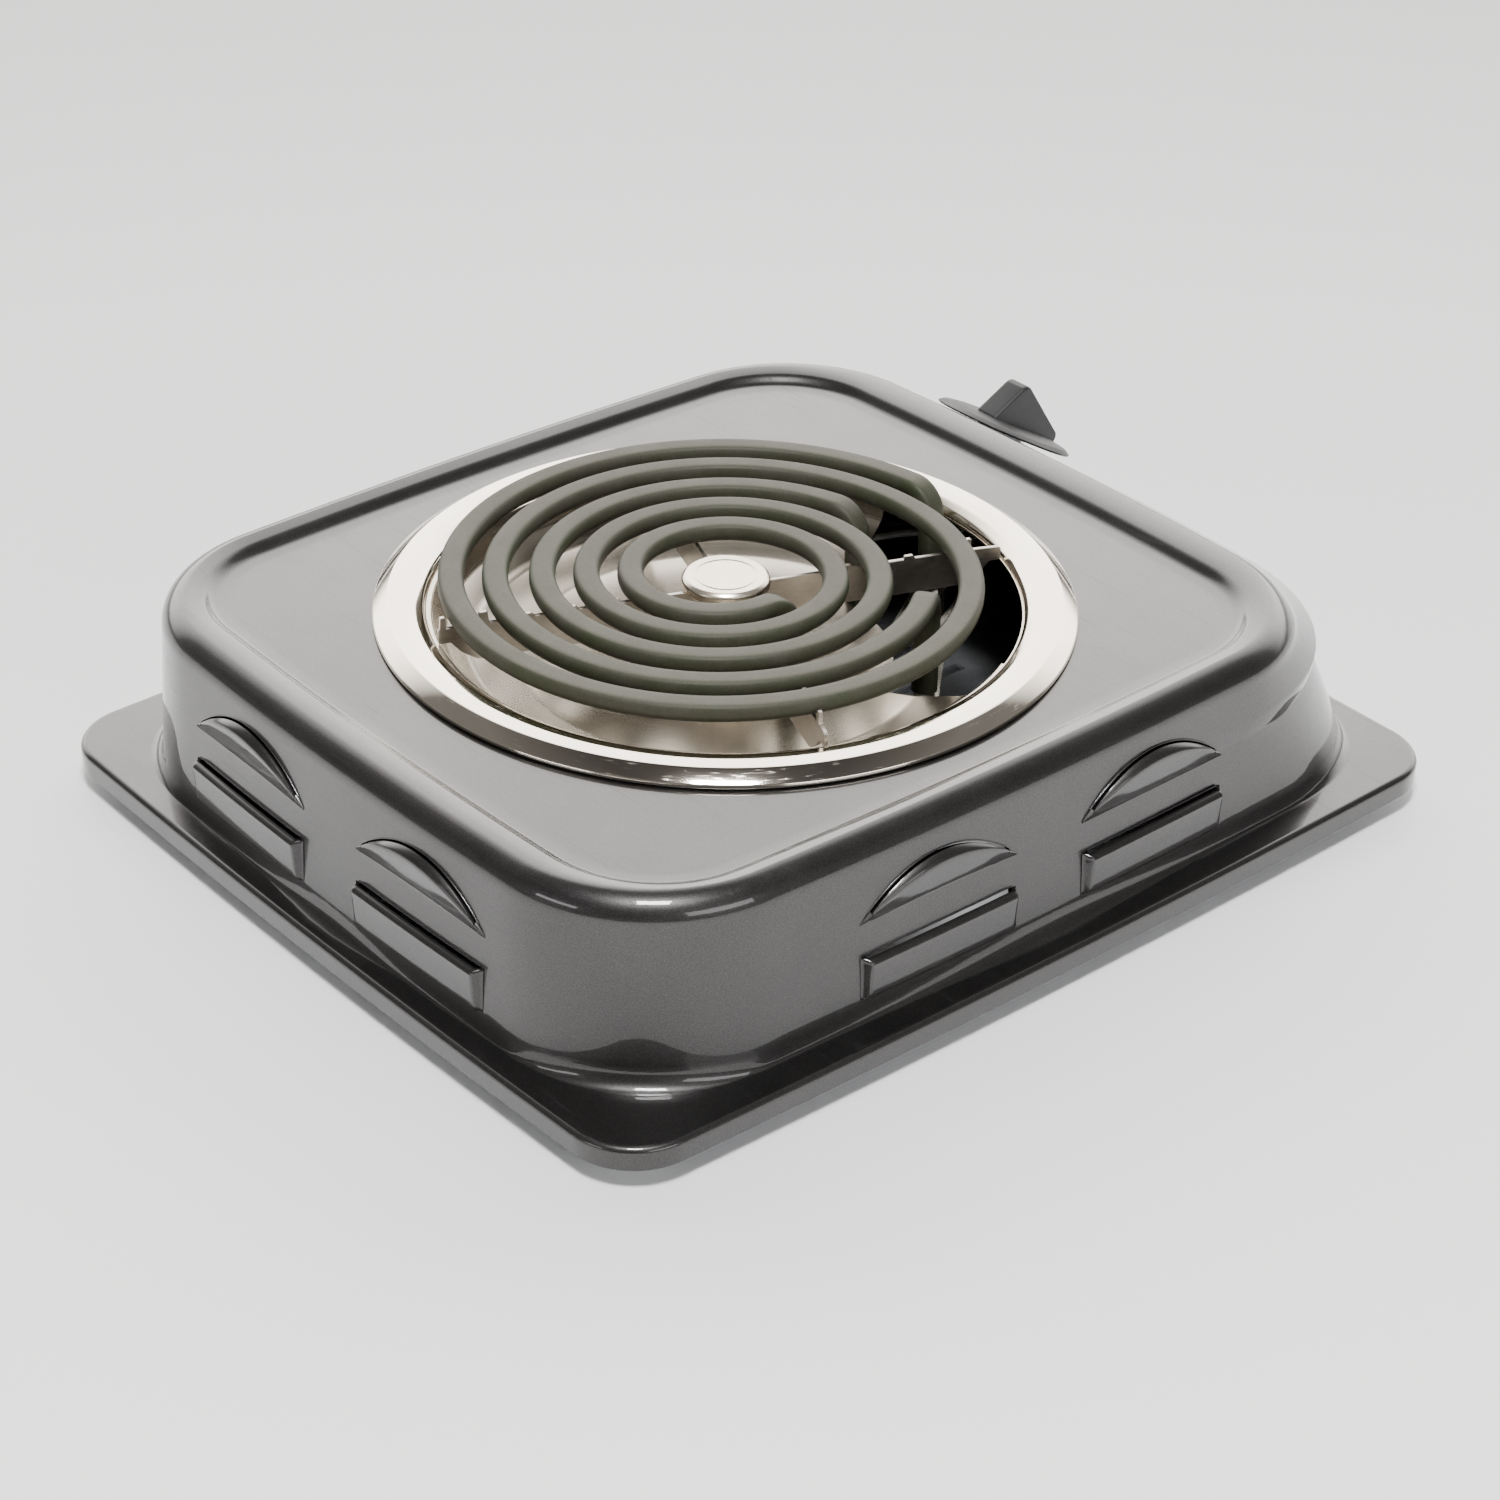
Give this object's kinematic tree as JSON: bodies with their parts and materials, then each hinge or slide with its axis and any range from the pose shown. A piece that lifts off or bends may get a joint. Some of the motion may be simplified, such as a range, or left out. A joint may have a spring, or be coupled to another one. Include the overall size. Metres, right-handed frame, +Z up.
{
  "type": "hot plate burner",
  "caption": "Portable electric hot plate: pressed steel housing with side louvres, chrome trim ring, drip pan, tubular coil on a cross spider, and a rotary heat knob on a sloped front.",
  "frame": {"origin": "centre of the bounding box in plan, on the plane that the rubber feet stand on", "axes": "+Z up, -Y towards the control panel and its knob, +X to the right of someone facing the knob from -Y"},
  "size_m": [0.2674, 0.3146, 0.074],
  "materials": {
    "housing_enamel": "gloss metallic graphite paint, fine orange peel",
    "ring_chrome": "mirror polished, light scratches",
    "pan_steel": "bright pressed stainless steel",
    "element_sheath": "heat-darkened olive grey sheath",
    "spider_steel": "satin stainless strip",
    "medallion_steel": "satin, blank face",
    "knob_plastic": "matt black phenolic",
    "zinc_steel": "zinc plated",
    "switch_phenolic": "dark moulded phenolic",
    "ceramic_white": "unglazed steatite",
    "nickel_pin": "nickel plated",
    "terminal_brass": "plain brass",
    "lead_sleeve": "woven glass sleeve",
    "lead_white": "silicone insulation",
    "lead_black": "silicone insulation",
    "earth_green": "green passivated screw",
    "black_rubber": "matt moulded rubber"
  },
  "bodies": {
    "base": {"base_plate": "zinc_steel", "coil_inner": "element_sheath", "coil_outer": "element_sheath", "cord_grommet": "black_rubber", "drip_pan": "pan_steel", "earth_screw": "earth_green", "element_lead_1": "lead_sleeve", "element_lead_2": "lead_sleeve", "element_lead_3": "lead_sleeve", "element_lead_4": "lead_sleeve", "element_seal_1": "ceramic_white", "element_seal_2": "ceramic_white", "element_seal_3": "ceramic_white", "element_seal_4": "ceramic_white", "element_terminal_1": "nickel_pin", "element_terminal_2": "nickel_pin", "element_terminal_3": "nickel_pin", "element_terminal_4": "nickel_pin", "foot_1": "black_rubber", "foot_2": "black_rubber", "foot_3": "black_rubber", "foot_4": "black_rubber", "foot_bracket_1": "zinc_steel", "foot_bracket_2": "zinc_steel", "foot_bracket_3": "zinc_steel", "foot_bracket_4": "zinc_steel", "foot_screw_1": "zinc_steel", "foot_screw_2": "zinc_steel", "foot_screw_3": "zinc_steel", "foot_screw_4": "zinc_steel", "housing": "housing_enamel", "medallion": "medallion_steel", "medallion_retainer": "medallion_steel", "spider_strip_lower": "spider_steel", "spider_strip_upper": "spider_steel", "supply_block": "ceramic_white", "supply_lead_1": "lead_white", "supply_lead_2": "lead_black", "supply_screw_1": "terminal_brass", "supply_screw_2": "terminal_brass", "switch_body": "switch_phenolic", "switch_bracket": "zinc_steel", "switch_nut": "zinc_steel", "switch_terminal_1": "terminal_brass", "switch_terminal_2": "terminal_brass", "switch_terminal_3": "terminal_brass", "switch_terminal_4": "terminal_brass", "switch_terminal_5": "terminal_brass", "switch_terminal_6": "terminal_brass", "trim_ring": "ring_chrome"},
    "knob": {"control_knob": "knob_plastic", "switch_shaft": "zinc_steel"}
  },
  "joints": [
    {"name": "knob_turn", "type": "hinge", "parent": "base", "child": "knob", "pos_m": [0.044, -0.13606, 0.05203], "axis": [0, -0.5, 0.866], "range_deg": [-270, 0]}
  ]
}
